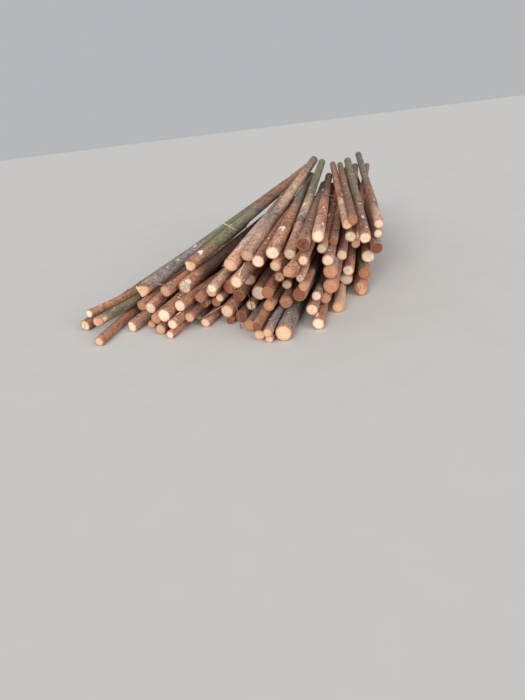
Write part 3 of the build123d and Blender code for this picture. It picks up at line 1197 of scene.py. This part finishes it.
def chip(shape, place, facing, rng, number):
    """Adds one chip or scrap of bark, lying flat on what it fell on."""
    along = unit(np.cross(facing, rng.normal(size=3)))
    across = np.cross(facing, along)
    long, wide = rng.uniform(0.008, 0.022), rng.uniform(0.004, 0.009)
    thick = rng.uniform(0.0012, 0.0025)
    ring = CHIP_OUTLINE * rng.uniform(0.75, 1.2, CHIP_OUTLINE.shape) * (long, wide)
    flat = place + ring[:, :1] * along + ring[:, 1:] * across
    curl = (ring[:, :1] / long) ** 2 * CHIP_CURL * long
    points = np.concatenate([flat + facing * curl, flat + facing * (curl + thick)])
    sides, count = len(ring), len(points)
    faces = grid_faces(2, sides) + [list(range(sides))[::-1], list(range(sides, count))]
    at = np.concatenate([np.tile(ring, (2, 1)), np.full((count, 1), float(number))], axis=1)
    bare = 1.2 * float(rng.random() < WOOD_SHARE)
    bark = BARK[rng.choice(["orange", "red", "tan", "brown"])]
    wood = WOOD[rng.choice(["pale", "yellow", "tan", "straw"])]
    shape.add(points, faces, 0, at, bark, wood, bare=bare)


rng = np.random.default_rng(8)
every_log = [log for logs in layers.values() for log in logs]
chips = Shape()
for number in range(CHIPS):
    log = every_log[rng.integers(len(every_log))]
    x, y, _ = log.point(rng.uniform(-0.03, 0.03), 0.0, log.length * rng.beta(1.0, 3.0))
    place, facing = under(x, y)
    if place[2] > LOWEST_CHIP and facing[2] > STEEPEST_CHIP:
        chip(chips, place, facing, rng, CHIPS_FROM + number)
for name, shape in (("loose_twigs", twigs), ("loose_chips", chips)):
    piece = built(name, shape)
    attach(piece, "root")
    print(name, len(shape.faces), "faces")

# %% [markdown]
# The stage is a plain pale floor that runs on to the horizon, under a soft, even sky, as on a dull day
# in the open. A curved studio sweep would hide the horizon, but a flat floor lets the stack be seen
# from every side. Two broad lamps from far in front, one from the left and one from the right, give
# the butts their shape, and the hollows between them go dark by themselves. Lamps close by would be
# easier to aim, but they leave bright pools on the floor.

# %% Floor and sky
FLOOR_HALF = 30.0
floor_mesh = bpy.data.meshes.new("floor")
corners = [(x * FLOOR_HALF, y * FLOOR_HALF, 0) for x, y in ((-1, -1), (1, -1), (1, 1), (-1, 1))]
floor_mesh.from_pydata(corners, [], [(0, 1, 2, 3)])
floor = bpy.data.objects.new("floor", floor_mesh)
bpy.context.scene.collection.objects.link(floor)
floor_material, tree, shader = new_material("pale_floor", 0.5)
dust = noise(node(tree, "TexCoord", {}, "Object"), 3.0, 5.0)
pale = blend(dust, rgba((0.62, 0.6, 0.57)), rgba((0.68, 0.66, 0.63)))
feed(shader, {"Base Color": pale})
shader["Roughness"].default_value = 0.9
floor_mesh.materials.append(floor_material)

world = bpy.data.worlds.new("dull_day")
bpy.context.scene.world = world
world.use_nodes = True
sky = world.node_tree.nodes["Background"].inputs
sky["Color"].default_value = (0.93, 0.96, 1.0, 1.0)
sky["Strength"].default_value = 0.5
print("sky strength", sky["Strength"].default_value)

# %% [markdown]
# A sun lamp stands for each soft light. Its strength is the same everywhere, and the wider its disc
# looks, the softer its shadows are. Only its direction counts, from a place towards the stack.

# %% Lamps
LIT_POINT = Vector((0, -1.2, 0.3))


def far_lamp(name, place, strength, spread, tint):
    """A broad soft light from far off, in the direction from a place to the stack."""
    data = bpy.data.lights.new(name, "SUN")
    data.energy = strength
    data.angle = math.radians(spread)
    data.color = tint
    made = bpy.data.objects.new(name, data)
    made.location = place
    made.rotation_euler = (LIT_POINT - Vector(place)).to_track_quat("-Z", "Y").to_euler()
    bpy.context.scene.collection.objects.link(made)
    print(name, "lamp at", place)


far_lamp("key", (-3.0, -8.0, 4.2), 1.7, 30, (1.0, 0.98, 0.94))
far_lamp("fill", (4.5, -7.0, 3.2), 1.4, 40, (0.98, 0.98, 1.0))

bpy.context.scene.view_settings.view_transform = "Standard"
